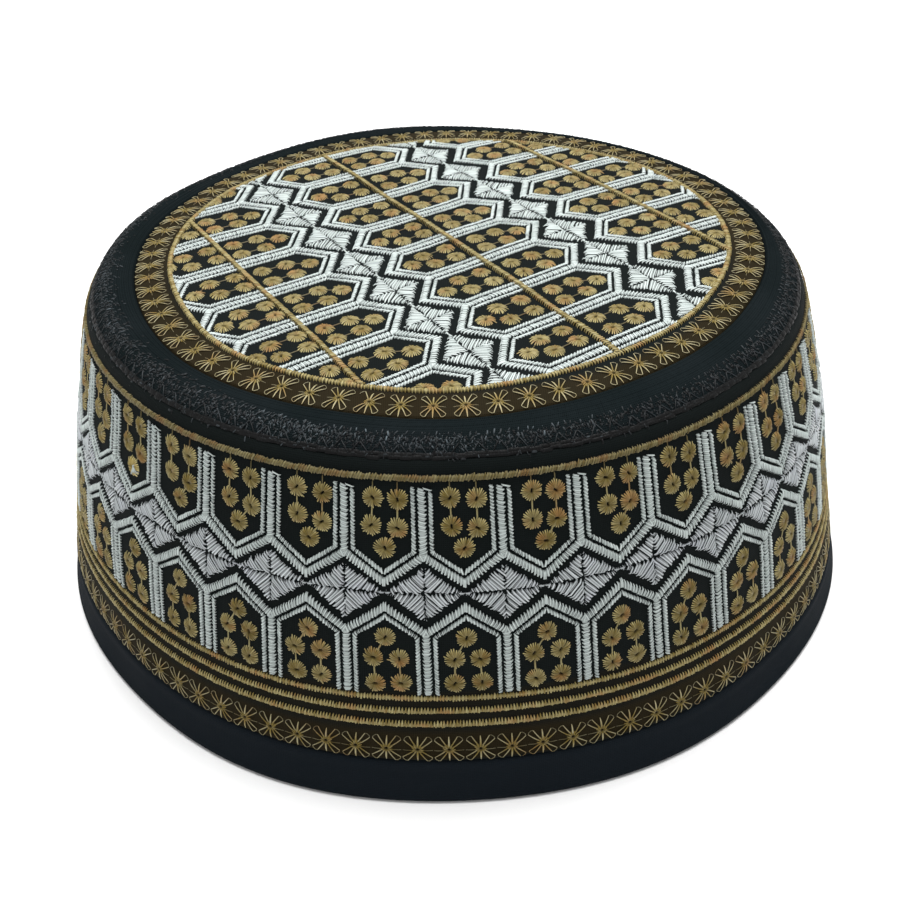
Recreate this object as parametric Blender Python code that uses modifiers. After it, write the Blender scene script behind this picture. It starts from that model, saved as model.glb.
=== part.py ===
"""Kufi: a brimless cap with a flat crown, a rolled shoulder, a flared side band and a hem.

Units are metres, +Z is up, and the origin is the centre of the rim at floor level.
Every piece is a cross-section turned once around +Z, with a small gap at each seam.
"""
import math

import bpy
from mathutils import Vector

MM = 0.001

# Driving sizes
RIM_RADIUS = 95.2 * MM          # widest radius of the cap, just above the floor
HEM_TOP = 10.1 * MM             # height of the hem's upper edge
SOLE_WIDTH = 1.5 * MM           # flat ring under the hem that meets the floor
HEM_WALL = 2.7 * MM             # folded hem thickness
BAND_WALL = 2.4 * MM            # side band thickness
ROLL_WALL = 3.0 * MM            # shoulder roll thickness, padded
CROWN_WALL = 2.2 * MM           # crown panel thickness
CROWN_EASE = 0.5 * MM           # easing of the crown panel's edge
SEAM_GAP = 0.3 * MM             # clearance at each seam
SEAM_WAY = Vector((0.806, 0.592))   # the shoulder seam's cut, inside to outside
TURN_STEPS = 96                 # facets around each turned piece

# Outer lines, top to bottom: name, radius and height in millimetres
CROWN_LINE = (
    ("centre", 0.0, 74.3),
    ("field", 34.0, 74.2),
    ("circle", 61.0, 73.8),
    ("edge", 68.4, 73.3),
)
ROLL_LINE = (
    ("inner_edge", 69.2, 73.0),
    ("first_rib", 70.1, 73.5),
    ("last_rib", 72.6, 73.6),
    ("crest", 74.4, 73.3),
    ("turn", 75.7, 72.5),
    ("seam", 76.75, 71.6),
)
BAND_LINE = (
    ("margin", 78.15, 70.5),
    ("turn", 78.95, 69.5),
    ("top_line", 79.45, 68.3),
    ("upper_cells", 81.9, 60.5),
    ("upper_nodes", 84.2, 52.8),
    ("diamonds", 85.9, 46.3),
    ("lower_nodes", 87.6, 38.3),
    ("triple_line", 90.3, 24.4),
    ("stars", 92.5, 13.4),
)
HEM_LINE = (
    ("middle", 93.8, 7.0),
    ("lower", 94.8, 2.4),
)
HEM_FOLD_RADIUS = 93.1 * MM     # radius of the hem at its upper edge


def clear_scene():
    for obj in list(bpy.data.objects):
        bpy.data.objects.remove(obj, do_unlink=True)


def cloth(name, colour, roughness):
    """Plain cloth material."""
    mat = bpy.data.materials.new(name)
    mat.use_nodes = True
    shader = mat.node_tree.nodes["Principled BSDF"]
    shader.inputs["Base Color"].default_value = (*colour, 1.0)
    shader.inputs["Roughness"].default_value = roughness
    shader.inputs["Metallic"].default_value = 0.0
    mat.diffuse_color = (*colour, 1.0)
    return mat


def line_points(table):
    """Radius and height of each row of an outer line, in metres."""
    return [Vector((radius, height)) * MM for _, radius, height in table]


def inner_line(points, wall):
    """The outer line moved inward by the wall, each corner on its bisector."""
    ways = [(b - a).normalized() for a, b in zip(points, points[1:])]
    result = []
    for i, here in enumerate(points):
        before = ways[max(i - 1, 0)]
        after = ways[min(i, len(ways) - 1)]
        bisector = (before + after).normalized()
        inward = Vector((bisector.y, -bisector.x))
        square = Vector((before.y, -before.x))
        result.append(here + inward * (wall / inward.dot(square)))
    return result


def turned(name, section, closed, mat, collection):
    """A cross-section, down its outer side and back up inside, turned around +Z."""
    count = len(section)
    edges = [(i, i + 1) for i in range(count - 1)]
    if closed:
        edges.append((count - 1, 0))
    mesh = bpy.data.meshes.new(name)
    mesh.from_pydata([(p.x, 0.0, p.y) for p in section], edges, [])
    mesh.materials.append(mat)
    obj = bpy.data.objects.new(name, mesh)
    collection.objects.link(obj)
    screw = obj.modifiers.new("turn", "SCREW")
    screw.axis = "Z"
    screw.angle = math.tau
    screw.steps = TURN_STEPS
    screw.render_steps = TURN_STEPS
    screw.use_merge_vertices = True
    screw.merge_threshold = 0.00001
    screw.use_smooth_shade = True
    return obj


def seam_outer():
    """Outer corner of the roll at the zigzag seam."""
    return line_points(ROLL_LINE)[-1]


def seam_inner():
    """Inner corner of the roll at the zigzag seam."""
    return seam_outer() - SEAM_WAY * ROLL_WALL


def seam_step():
    """Way from the roll's side of the seam to the band's side."""
    return Vector((SEAM_WAY.y, -SEAM_WAY.x)) * SEAM_GAP


def crown_panel(collection):
    """Slightly domed disc with eased edges."""
    top = line_points(CROWN_LINE)
    edge = top[-1]
    rim = line_points(ROLL_LINE)[0].x - SEAM_GAP
    under = edge.y - CROWN_WALL
    section = top + [
        Vector((rim, edge.y - CROWN_EASE)),
        Vector((rim, under + CROWN_EASE)),
        Vector((rim - CROWN_EASE, under)),
        Vector((top[1].x, top[1].y - CROWN_WALL)),
        Vector((0.0, top[0].y - CROWN_WALL)),
    ]
    mat = cloth("crown_cloth", (0.012, 0.015, 0.017), 0.85)
    return turned("crown_panel", section, False, mat, collection)


def shoulder_roll(collection):
    """Padded ring from the crown's edge over to the zigzag seam."""
    outer = line_points(ROLL_LINE)
    rib = outer[2]
    inner = [
        seam_inner(),
        Vector((rib.x, rib.y - ROLL_WALL)),
        Vector((outer[0].x, rib.y - ROLL_WALL)),
    ]
    mat = cloth("roll_cloth", (0.018, 0.020, 0.023), 0.75)
    return turned("shoulder_roll", outer + inner, True, mat, collection)


def side_band(collection):
    """Flared wall from the zigzag seam down to the hem."""
    outer = [seam_outer() + seam_step()] + line_points(BAND_LINE)
    foot_height = HEM_TOP + SEAM_GAP
    way = outer[-1] - outer[-2]
    outer.append(outer[-1] + way * ((foot_height - outer[-1].y) / way.y))
    inner = inner_line(outer, BAND_WALL)
    inner[0] = seam_inner() + seam_step()
    inner[-1].y = foot_height
    mat = cloth("band_cloth", (0.013, 0.015, 0.016), 0.85)
    return turned("side_band", outer + inner[::-1], True, mat, collection)


def hem_band(collection):
    """Folded strip whose flat underside meets the floor."""
    fold = Vector((HEM_FOLD_RADIUS, HEM_TOP))
    rim = Vector((RIM_RADIUS, 0.7 * MM))
    outer = [fold] + line_points(HEM_LINE) + [rim]
    inner = inner_line(outer, HEM_WALL)
    inner[0].y = HEM_TOP
    inner[-1].y = rim.y
    sole_outer = RIM_RADIUS - 0.35 * MM
    sole = [Vector((sole_outer, 0.0)), Vector((sole_outer - SOLE_WIDTH, 0.0))]
    mat = cloth("hem_cloth", (0.010, 0.014, 0.016), 0.80)
    return turned("hem_band", outer + sole + inner[::-1], True, mat, collection)


def main():
    clear_scene()
    cap = bpy.data.collections.new("kufi")
    bpy.context.scene.collection.children.link(cap)
    crown_panel(cap)
    shoulder_roll(cap)
    side_band(cap)
    hem_band(cap)


main()
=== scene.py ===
"""Looks of the kufi: cloth shells in place of the plain CAD solids, with modelled embroidery.

Sizes are millimetres and become metres when a mesh is made. Every point is laid out on a
round cap first and then softened, because the real cap is slightly out of round and its
crown sits a little off centre. Flat band positions are (along, height), where along is
measured at the chain's radius from the front (-Y) towards +X. Crown positions are (x, y).
"""
import math

import bmesh
import bpy
import numpy as np
from mathutils import Matrix, Vector


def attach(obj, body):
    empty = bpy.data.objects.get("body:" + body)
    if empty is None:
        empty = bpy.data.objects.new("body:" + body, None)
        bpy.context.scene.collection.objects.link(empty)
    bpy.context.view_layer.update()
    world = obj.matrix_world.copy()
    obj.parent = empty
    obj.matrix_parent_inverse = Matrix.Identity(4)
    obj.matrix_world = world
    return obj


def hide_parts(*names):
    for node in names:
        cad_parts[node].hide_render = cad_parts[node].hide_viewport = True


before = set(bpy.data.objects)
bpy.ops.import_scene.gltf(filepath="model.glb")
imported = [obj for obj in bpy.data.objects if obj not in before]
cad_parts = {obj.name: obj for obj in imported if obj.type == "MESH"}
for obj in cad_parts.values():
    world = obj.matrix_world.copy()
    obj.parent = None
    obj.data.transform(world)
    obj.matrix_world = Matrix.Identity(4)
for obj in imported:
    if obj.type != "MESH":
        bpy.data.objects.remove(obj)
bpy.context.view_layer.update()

MM = 0.001
TAU = math.tau
rng = np.random.default_rng(7)

# Outer lines of the cloth, radius and height, from the crown's middle down to the hem
CROWN_LINE = ((0, 74.3), (34, 74.2), (61, 73.8), (68.2, 73.35), (69.3, 73.2), (69.7, 72.8))
ROLL_LINE = (
    (69.75, 72.75), (70.1, 73.3), (71.2, 73.55), (72.6, 73.6), (73.6, 73.55), (74.4, 73.3),
    (75.7, 72.6), (76.85, 71.8), (77.4, 71.15), (77.4, 70.65), (76.9, 70.2),
)
BAND_LINE = (
    (76.9, 69.95), (77.6, 70.65), (78.15, 70.45), (78.95, 69.5), (79.45, 68.3), (81.9, 60.5),
    (84.2, 52.8), (85.9, 46.3), (87.6, 38.3), (90.3, 24.4), (92.5, 13.4), (93.1, 10.4),
)
HEM_LINE = (
    (92.5, 10.2), (93.15, 9.9), (93.8, 7.0), (94.8, 2.4), (95.15, 0.8), (94.7, 0.1),
    (93.9, 0.0), (93.2, 0.2), (92.5, 1.2), (91.7, 4.0), (90.6, 10.0),
)
SEAM_BRIDGE = ((77.45, 71.25), (77.95, 70.8), (78.45, 70.2), (78.95, 69.5))  # under stitches
CROWN_WALL = 1.9
ROLL_WALL = 2.8
BAND_WALL = 2.1
HEM_WALL = 1.15
SEGMENTS = 300                  # facets round each shell
STRIPS = 3                      # strips that a shell's bake map is cut into
RIB_PITCH = 0.95                # concentric ribs on the flat of the roll
RIBS = (69.9, 74.0)             # radii where the ribs begin and end
RIB_HEIGHT = 0.16

# How the real cap departs from a round one
OVAL = ((2, -0.0074, -0.0078), (3, 0.0019, -0.0037))   # turns, cosine and sine shares
LEAN = 0.0041                   # shift along +X for each millimetre of height
CROWN_CENTRE = (1.86, 0.0)      # where the middle of the crown sits
CROWN_EDGE = (69.7, 75.2)       # radii between which the crown's shift fades out
CROWN_SIDE = (66.0, 70.0)       # heights between which the side becomes the crown
RIM_FADE = (8.0, 34.0)          # heights between which the rim's shift gives way to the wall's
WALL_FADE = (50.0, 62.0)        # heights between which the wall's shift fades out
RING_FADE = (46.0, 62.0)        # radii between which the wander of the crown's edge sets in
EDGE_GAP = 3.2                  # from the ring of stars out to the crown's edge


def near_side(*values):
    """A table round the cap from its values at -120 to 120 degrees, and none on the far side."""
    return np.r_[values[6:], np.zeros(5), values[:6]]


# Radii and shifts that wander a little, every 20 degrees from the front towards +X
STAR_RING = (
    66.25, 64.7, 64.2, 64.5, 66.0, 67.1, 67.4, 67.2, 67.3,
    67.4, 67.3, 66.9, 66.8, 66.8, 66.2, 66.1, 66.5, 66.1,
)
GOLD_CIRCLE = (
    61.4, 59.8, 59.6, 60.0, 61.4, 62.7, 63.1, 62.6, 62.1,
    61.9, 62.5, 62.4, 62.7, 62.4, 61.6, 61.3, 62.1, 61.5,
)
DROOP = (                       # how far the shoulder sinks below the crown's edge
    0.0, 0.0, 0.0, 0.0, 0.0, -0.2, 0.1, 0.4, 0.65,
    0.35, 0.1, 0.75, 0.25, -0.4, 0.0, 0.0, 0.0, 0.0,
)
RIM_SHIFT = near_side(          # outward at the rim
    0.0, 0.0, -0.1, -0.5, -0.4, 0.5, -0.4, 0.2, -0.15, 0.0, 0.0, 0.0, 0.0
)
WALL_SHIFT = near_side(         # outward half way up the band
    0.0, -0.8, -0.8, 0.0, 0.0, 0.0, 0.0, 0.0, 0.0, 0.0, -0.3, -0.2, 0.0
)
STILL = near_side(*[0.0] * 13)
ALONG = (                       # how far the cloth is pulled along, at a few heights
    (13.3, near_side(0.0, -0.3, -1.0, -2.0, -0.7, -0.25, 0.1, 0.4, 1.0, 2.4, 1.0, 0.2, 0.0)),
    (24.0, near_side(0.2, 0.9, 1.9, 3.0, 1.05, 0.2, 0.15, -0.1, -0.4, -0.9, -0.6, -0.2, 0.0)),
    (46.6, near_side(0.0, -0.3, -0.5, 0.1, 0.15, 0.05, -0.05, -0.4, -0.8, -1.3, -0.9, -0.3, 0.0)),
    (67.0, near_side(-0.6, -2.0, -3.8, -4.2, -2.0, -0.45, -0.2, -0.2, -0.65, -1.45, -1.0, -0.3, 0.0)),
)
UPWARD = (                      # how far it is pulled up
    (2.0, STILL),
    (13.3, near_side(0.0, -0.1, -0.2, -0.3, -0.2, 0.1, -0.4, -0.45, -1.1, -1.7, -0.8, 0.0, 0.0)),
    (21.6, near_side(0.0, 0.3, 0.8, 1.1, 0.2, -0.35, -0.2, -0.55, -0.95, -1.9, -0.8, -0.1, 0.0)),
    (31.0, near_side(0.0, 0.6, 1.6, 2.1, 0.6, -0.3, -0.15, -0.75, -0.9, -0.3, 0.0, 0.0, 0.0)),
    (46.6, near_side(0.0, 0.2, 0.5, 0.6, 0.35, 0.0, 0.05, 0.0, 0.15, 0.3, 0.2, 0.0, 0.0)),
    (60.0, STILL),
)

# Embroidery on the side band
CHAIN_RADIUS = 85.8
ROUND = TAU * CHAIN_RADIUS
CELLS = 37
CELL = ROUND / CELLS
FIRST_CELL = math.radians(-3.58) * CHAIN_RADIUS
CHAIN_HEIGHT = 46.55
TOP_LINE = (67.1, 68.3)
LOWER_LINES = ((23.95, 25.2), (21.15, 22.5), (18.15, 19.6))
STAR_HEIGHT = 13.15
STARS = 99
FIRST_STAR = math.radians(-1.24) * CHAIN_RADIUS

# The lattice around a chain, as distances from the chain's middle
WIDE = 1.6                      # wide white line
THIN = 0.84                     # thin white line
THIN_OFFSET = 1.645             # middle of the wide line to middle of the thin one
STEEP = 0.741                   # fall of a diagonal for each millimetre along
SLANT = math.hypot(1, STEEP)    # height of a slanted line for each millimetre of its width
TIP = 2.045                     # wide line's middle at the tip between two posts
NODE = 7.445                    # wide line's middle where the post begins
DIAMOND = (7.1, 5.05, 5.4)      # half width, height above and below

# Embroidery on the crown
PATTERN_TURN = math.radians(30.5)
CHAINS = (-66.2, -21.8, 24.15, 69.4)
CELL_SPOTS = (                  # places of the diamonds along the second and third chain
    (-77.4, -62.1, -46.8, -31.4, -16.2, -0.9, 13.6, 28.3, 43.1, 58.0, 72.9),
    (-74.85, -60.35, -45.95, -31.65, -17.55, -3.75, 10.35, 24.95, 39.95, 54.85, 69.75),
)
POST_BEND = (0.0, 0.2, 0.5, 1.3, 1.1, 0.3, 0.0, 0.2, 0.0, 0.0, 0.0)   # of the posts between them
FAN = (-0.007, 0.0008, -21.4)   # how the chains and gold lines spread apart along their way
GOLD_LINES = (-44.6, 0.5, 46.4)
CIRCLE_WIDTH = 1.25
RING_STARS = 71

# Photo camera
LENS = 48.18
CAMERA_AT = (0.0, -246.9, 192.17)
PITCH = 0.6173
YAW = 0.0017
ROLL = -0.0354


# Lines and places

def lengths(points):
    """Length along a polyline up to each of its points."""
    return np.r_[0.0, np.cumsum(np.hypot(*np.diff(points, axis=0).T))]


def polar(turn, radius):
    return np.stack([radius * np.cos(turn), radius * np.sin(turn)], -1)


def around(turn, radius, height):
    return np.stack(np.broadcast_arrays(radius * np.cos(turn), radius * np.sin(turn), height), -1)


def smooth_line(points, steps=7):
    """A curve through the points, with several samples in each span."""
    points = np.asarray(points, float)
    chord = lengths(points)
    ways = np.gradient(points, chord, axis=0)
    result = []
    for i in range(len(points) - 1):
        span = chord[i + 1] - chord[i]
        t = (np.arange(steps) / steps)[:, None]
        result.append(
            (2 * t**3 - 3 * t**2 + 1) * points[i]
            + (t**3 - 2 * t**2 + t) * span * ways[i]
            + (3 * t**2 - 2 * t**3) * points[i + 1]
            + (t**3 - t**2) * span * ways[i + 1]
        )
    return np.vstack(result + [points[-1:]])


def normals_of(points):
    """Unit normals to the left of the way of travel, for a line of radius and height."""
    way = np.gradient(points, axis=0)
    way /= np.linalg.norm(way, axis=1)[:, None]
    return np.stack([-way[:, 1], way[:, 0]], 1)


class Line:
    """An outer line with its arc length and its normals."""

    def __init__(self, points):
        self.points = points
        self.length = lengths(points)
        self.normals = normals_of(points)

    def at(self, length, lift):
        """Radius and height at that length, lifted along the normal."""
        columns = (*self.points.T, *self.normals.T)
        pick = [np.interp(length, self.length, column) for column in columns]
        return pick[0] + pick[2] * lift, pick[1] + pick[3] * lift

    def length_at_height(self, height):
        return np.interp(-height, -self.points[:, 1], self.length)

    def length_at_radius(self, radius):
        return np.interp(radius, self.points[:, 0], self.length)


def ribbed(points):
    """The roll's line with ribs on its flat part."""
    inside = (points[:, 0] > RIBS[0]) & (points[:, 0] < RIBS[1])
    phase = (points[:, 0] - RIBS[0]) / RIB_PITCH * math.pi
    fade = np.clip((RIBS[1] - points[:, 0]) / 0.8, 0.0, 1.0)
    result = points.copy()
    groove = RIB_HEIGHT * fade * (np.abs(np.sin(phase)) ** 0.7 - 1.0)
    result[:, 1] += np.where(inside, groove, 0.0)
    return result


crown_line = smooth_line(CROWN_LINE, 10)
roll_line = smooth_line(ROLL_LINE, 10)
band_line = smooth_line(BAND_LINE, 6)
hem_line = smooth_line(HEM_LINE, 5)


def shoulder_line():
    """The line under the crown's and shoulder's stitches: crown, roll and over the seam."""
    flat = roll_line[:np.argmax(roll_line[:, 0])]
    flat = flat[(flat[:, 0] > 70.0) & (flat[:, 0] < 77.0)]
    return Line(np.vstack([crown_line[crown_line[:, 0] < 69.2], flat, SEAM_BRIDGE]))


BAND = Line(band_line[np.argmax(band_line[:, 1]):])
TOP = shoulder_line()


def oval(angle):
    """Share by which the cap is wider than round at that angle from +X."""
    return 1.0 + sum(c * np.cos(n * angle) + s * np.sin(n * angle) for n, c, s in OVAL)


def wander(table, angle):
    """Smooth closed curve through a table of radii, at angles from +X."""
    terms = np.fft.rfft(table) / len(table)
    turn = angle + TAU / 4
    value = np.full(np.shape(angle), terms[0].real)
    for n, term in enumerate(terms[1:], 1):
        share = 1.0 if 2 * n == len(table) else 2.0
        value = value + share * (term.real * np.cos(n * turn) - term.imag * np.sin(n * turn))
    return value


def step(value, low, high):
    """Smooth step from 0 at low to 1 at high."""
    share = np.clip((value - low) / (high - low), 0.0, 1.0)
    return share * share * (3 - 2 * share)


def pulled(charts, angle, height):
    """Value at an angle and height, from tables charted at a few heights."""
    heights = [level for level, _ in charts]
    values = [wander(table, angle) for _, table in charts]
    result = values[0]
    for i in range(1, len(charts)):
        share = np.clip((height - heights[i - 1]) / (heights[i] - heights[i - 1]), 0.0, 1.0)
        result = result + (values[i] - values[i - 1]) * share
    return result


def edge_shift(angle, radius):
    """How far the crown's edge wanders outward."""
    edge = wander(STAR_RING, angle) + EDGE_GAP - CROWN_EDGE[0] * oval(angle)
    return edge * step(radius, *RING_FADE)


def dents(angle, z):
    """Faint waves in the wall, as a distance outward."""
    long_wave = 0.10 * np.sin(5 * angle + 1.1) * np.sin(z / 17.0 + 2 * angle)
    return long_wave + 0.05 * np.sin(11 * angle + z / 9.0)


def quilted(x, y):
    """Faint waves in the crown, as a rise."""
    return 0.07 * np.sin(x / 5.1 + 1.3 * np.sin(y / 9.0)) + 0.07 * np.sin(y / 4.3 + 1.7 * np.sin(x / 8.0))


def soften(points):
    """Round cap to real cap: oval, leaning, the crown off centre, and faintly uneven."""
    x, y, z = np.moveaxis(points, -1, 0)
    radius = np.hypot(x, y)
    angle = np.arctan2(y, x)
    on_top = (1.0 - step(radius, *CROWN_EDGE)) * step(z, *CROWN_SIDE)
    drift = pulled(ALONG, angle, z) / CHAIN_RADIUS
    z = z + pulled(UPWARD, angle, z)
    angle = angle + drift * (1.0 - on_top)
    low, high = step(z, *RIM_FADE), step(z, *WALL_FADE)
    shift = wander(RIM_SHIFT, angle) * (1.0 - low) + wander(WALL_SHIFT, angle) * low * (1.0 - high)
    wall = radius * (oval(angle) + dents(angle, z) / 90.0) + shift * step(radius, 60.0, 75.0)
    top = radius * oval(angle) + edge_shift(angle, radius)
    reach = wall + (top - wall) * on_top
    x = reach * np.cos(angle) + (1.0 - on_top) * LEAN * z + on_top * CROWN_CENTRE[0]
    y = reach * np.sin(angle) + on_top * CROWN_CENTRE[1]
    sink = wander(DROOP, angle) * step(radius, 69.5, 73.0) * step(z, 58.0, 70.0)
    return np.stack([x, y, z + on_top * quilted(x, y) - sink], -1)


def from_centre(points):
    """Distance and angle of points from the middle of the crown."""
    away = points - np.array(CROWN_CENTRE)
    return np.hypot(away[..., 0], away[..., 1]), np.arctan2(away[..., 1], away[..., 0])


def outside(points, inset):
    """How far points on the crown lie outside the gold circle, drawn in by an inset."""
    reach, angle = from_centre(points)
    return reach - (wander(GOLD_CIRCLE, angle) - inset)


def round_crown(seen):
    """Where a point seen on the real crown lies on the round one."""
    reach, angle = from_centre(seen)
    radius = reach
    for _ in range(4):
        radius = (reach - edge_shift(angle, radius)) / oval(angle)
    return polar(angle, radius)


def on_band(flat, lift):
    """Band position and lift to a point of the real cap."""
    radius, height = BAND.at(BAND.length_at_height(flat[..., 1]), lift)
    return soften(around(flat[..., 0] / CHAIN_RADIUS - TAU / 4, radius, height))


def on_shoulder(flat, lift):
    """Position on the round crown or shoulder, and lift, to a point of the real cap."""
    angle = np.arctan2(flat[..., 1], flat[..., 0])
    radius, height = TOP.at(TOP.length_at_radius(np.hypot(flat[..., 0], flat[..., 1])), lift)
    return soften(around(angle, radius, height))


def on_crown(flat, lift):
    """Position seen on the crown, and lift, to a point of the real cap."""
    return on_shoulder(round_crown(flat), lift)


# Materials

BROWN_THREAD = (0.0150, 0.0108, 0.0036)   # ground under the rings of stars
WEAVE_SCALE = 0.8


class Tree:
    """The shader nodes of a new material."""

    def __init__(self, name):
        self.mat = bpy.data.materials.new(name)
        self.mat.use_nodes = True
        self.nodes = self.mat.node_tree.nodes

    def feed(self, made, index, value):
        """Links a socket to an input, or sets the input to a value."""
        if isinstance(value, bpy.types.NodeSocket):
            self.mat.node_tree.links.new(value, made.inputs[index])
        else:
            made.inputs[index].default_value = value

    def node(self, kind, *fed, **values):
        """A node with its settings, its plain inputs by name, and its fed inputs as pairs."""
        made = self.nodes.new("ShaderNode" + kind)
        for key, value in values.items():
            if hasattr(made, key):
                setattr(made, key, value)
            else:
                made.inputs[key].default_value = value
        for index, value in fed:
            self.feed(made, index, value)
        return made

    def mix(self, share, first, second, blend="MIX"):
        """Output of a colour mix; each input is a socket or a value."""
        colours = [(*value, 1.0) if isinstance(value, tuple) else value for value in (first, second)]
        fed = zip((0, 6, 7), (share, *colours))
        return self.node("Mix", *fed, data_type="RGBA", blend_type=blend).outputs[2]

    def remap(self, value, low, high, out_low, out_high):
        """Output of a map range from (low, high) to (out_low, out_high)."""
        return self.node("MapRange", *enumerate((value, low, high, out_low, out_high))).outputs[0]

    def noise(self, vector, scale, detail=3.0):
        return self.node("TexNoise", ("Vector", vector), Scale=scale, Detail=detail).outputs["Fac"]

    def scaled(self, vector, scale):
        """Vector times a scale of its own along each axis."""
        return self.node("VectorMath", (0, vector), (1, scale), operation="MULTIPLY").outputs[0]

    def object_place(self):
        return self.node("TexCoord").outputs["Object"]

    def surface(self, **values):
        """Feeds the shader's inputs, with underscores for the spaces in their names."""
        for key, value in values.items():
            self.feed(self.nodes["Principled BSDF"], key.replace("_", " "), value)

    def relief(self, height, strength, depth):
        """Normal of a bump."""
        return self.node("Bump", ("Height", height), Strength=strength, Distance=depth).outputs["Normal"]


def thread_material(name, dark, light, odd, roughness, sheen=0.1, specular=0.35):
    """Satin thread: each stitch has its own tone, its colour is scaled by the shade attribute, which carries
    painted shade along its edges and ends, and its plies twist.
    """
    tree = Tree(name)
    tone, shade = (tree.node("Attribute", attribute_name=key).outputs["Fac"] for key in ("tone", "shade"))
    strand = tree.node("UVMap", uv_map="Strand").outputs["UV"]
    patches = tree.noise(tree.object_place(), 230.0)
    body = tree.mix(tone, dark, light)
    body = tree.mix(tree.remap(patches, 0.52, 0.68, 0.0, 0.6), body, odd)
    plies = tree.node("TexWave", ("Vector", strand), bands_direction="DIAGONAL", Scale=1.15, Distortion=1.5)
    tree.surface(
        Base_Color=tree.mix(1.0, body, shade, "MULTIPLY"),
        Normal=tree.relief(plies.outputs["Fac"], 0.3, 0.00005),
        Roughness=tree.remap(patches, 0.3, 0.7, roughness - 0.06, roughness + 0.1),
        Specular_IOR_Level=specular,
        Sheen_Weight=sheen,
        Sheen_Roughness=0.5,
    )
    return tree.mat


def cloth_material(name, colour, dusty, roughness, specular=0.08, tint=None, radial=0.0):
    """Woven cloth: crossing yarns, uneven dye, and an optional tint or rows of fine stitching."""
    tree = Tree(name)
    place = tree.object_place()
    yarns = tree.node("UVMap", uv_map="Weave").outputs["UV"]
    crossing = [
        tree.node("TexWave", ("Vector", yarns), bands_direction=way, Scale=WEAVE_SCALE, Distortion=0.4)
        for way in ("X", "Y")
    ]
    fed = enumerate(wave.outputs["Fac"] for wave in crossing)
    relief = tree.node("Math", *fed, operation="MAXIMUM").outputs[0]
    if radial:
        stitched = tree.noise(tree.scaled(yarns, (radial, 0.6, 1.0)), 1.0, 2.0)
        fed = enumerate((stitched, 1.6, relief))
        relief = tree.node("Math", *fed, operation="MULTIPLY_ADD").outputs[0]
    patches = tree.noise(place, 55.0, 5.0)
    body = tree.mix(tree.remap(patches, 0.35, 0.75, 0.0, 1.0), colour, dusty)
    if tint:
        body = tree.mix(tint(tree, place), body, BROWN_THREAD)
    # Painted shade and highlight: the colour follows the relief, darker in its hollows and brighter on its
    # raised yarns and rows of stitching.
    shade = tree.remap(relief, 0.0, 1.0 + radial * 0.3, 0.6 - 0.2 * radial, 1.1 + 0.2 * radial)
    tree.surface(
        Base_Color=tree.mix(1.0, body, shade, "MULTIPLY"),
        Normal=tree.relief(relief, 0.5, 0.0001 + 0.0001 * radial),
        Roughness=tree.remap(patches, 0.3, 0.7, roughness - 0.08, roughness + 0.08),
        Specular_IOR_Level=specular,
    )
    return tree.mat


def band_tint(tree, place):
    """Share of brown thread under the star chain, and less of it between the gold lines."""
    height = tree.node("SeparateXYZ", (0, place)).outputs[2]
    share = tree.remap(height, 0.0102, 0.0106, 0.0, 1.0)
    for low, high, least in ((0.0160, 0.0172, 0.4), (0.0254, 0.0262, 0.0)):
        part = tree.remap(height, low, high, 1.0, least)
        share = tree.node("Math", (0, share), (1, part), operation="MULTIPLY").outputs[0]
    return share


def crown_tint(tree, place):
    """One outside the gold circle, where brown thread shows under the ring of stars."""
    centre = (CROWN_CENTRE[0] * MM, CROWN_CENTRE[1] * MM, 0.0)
    fed = ((0, tree.scaled(place, (1.0, 1.0, 0.0))), (1, centre))
    away = tree.node("VectorMath", *fed, operation="DISTANCE").outputs["Value"]
    return tree.remap(away, 0.0610, 0.0632, 0.0, 1.0)


# Cloth shells

def link(obj):
    bpy.context.scene.collection.objects.link(obj)
    return obj


def new_object(name, points, faces, mat, maps, attributes=()):
    """A smooth mesh object from millimetre points, with UV maps and point attributes."""
    mesh = bpy.data.meshes.new(name)
    mesh.vertices.add(len(points))
    mesh.vertices.foreach_set("co", (points * MM).ravel())
    mesh.loops.add(faces.size)
    mesh.loops.foreach_set("vertex_index", faces.ravel().astype(np.int32))
    mesh.polygons.add(len(faces))
    mesh.polygons.foreach_set("loop_start", np.arange(len(faces), dtype=np.int32) * 4)
    mesh.polygons.foreach_set("use_smooth", np.ones(len(faces), bool))
    mesh.update(calc_edges=True)
    for key, values in attributes:
        mesh.attributes.new(key, "FLOAT", "POINT").data.foreach_set("value", values.astype(np.float32))
    for key, values in maps:
        mesh.uv_layers.new(name=key).data.foreach_set("uv", values.astype(np.float32).ravel())
    mesh.materials.append(mat)
    return link(bpy.data.objects.new(name, mesh))


def face_corners(columns, rows):
    """Column and row of the four corners of each face of a grid."""
    i, j = (index.reshape(-1, 1) for index in np.mgrid[:columns, :rows])
    return i + (0, 0, 1, 1), j + (0, 1, 1, 0)


def turned(name, section, mat, closed=True):
    """A section of radius and height turned around +Z, with bake and weave maps."""
    count = len(section)
    along, across = face_corners(SEGMENTS, count if closed else count - 1)
    angle = np.arange(SEGMENTS)[:, None] * TAU / SEGMENTS
    points = soften(around(angle, *section.T)).reshape(-1, 3)
    faces = (along % SEGMENTS) * count + across % count
    loop = np.vstack([section, section[:1]]) if closed else section
    length = lengths(loop)
    share = along * STRIPS / SEGMENTS
    strip = np.floor(share[:, :1])
    rise = strip + length[across] / length[-1] * 0.97 + 0.015
    bake = np.stack([(share - strip) * 0.98 + 0.01, rise / STRIPS], -1)
    weave = np.stack([along * TAU / SEGMENTS * loop[:, 0].max(), length[across]], -1)
    return new_object(name, points, faces, mat, (("OFBake", bake), ("Weave", weave)))


def walled(outer, wall, coarse=4):
    """A closed section: the outer line, and back along a coarser copy moved in by the wall."""
    inner = outer - normals_of(outer) * wall
    picks = np.unique(np.r_[np.arange(0, len(inner), coarse), len(inner) - 1])
    return np.vstack([outer, inner[picks][::-1]])


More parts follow.
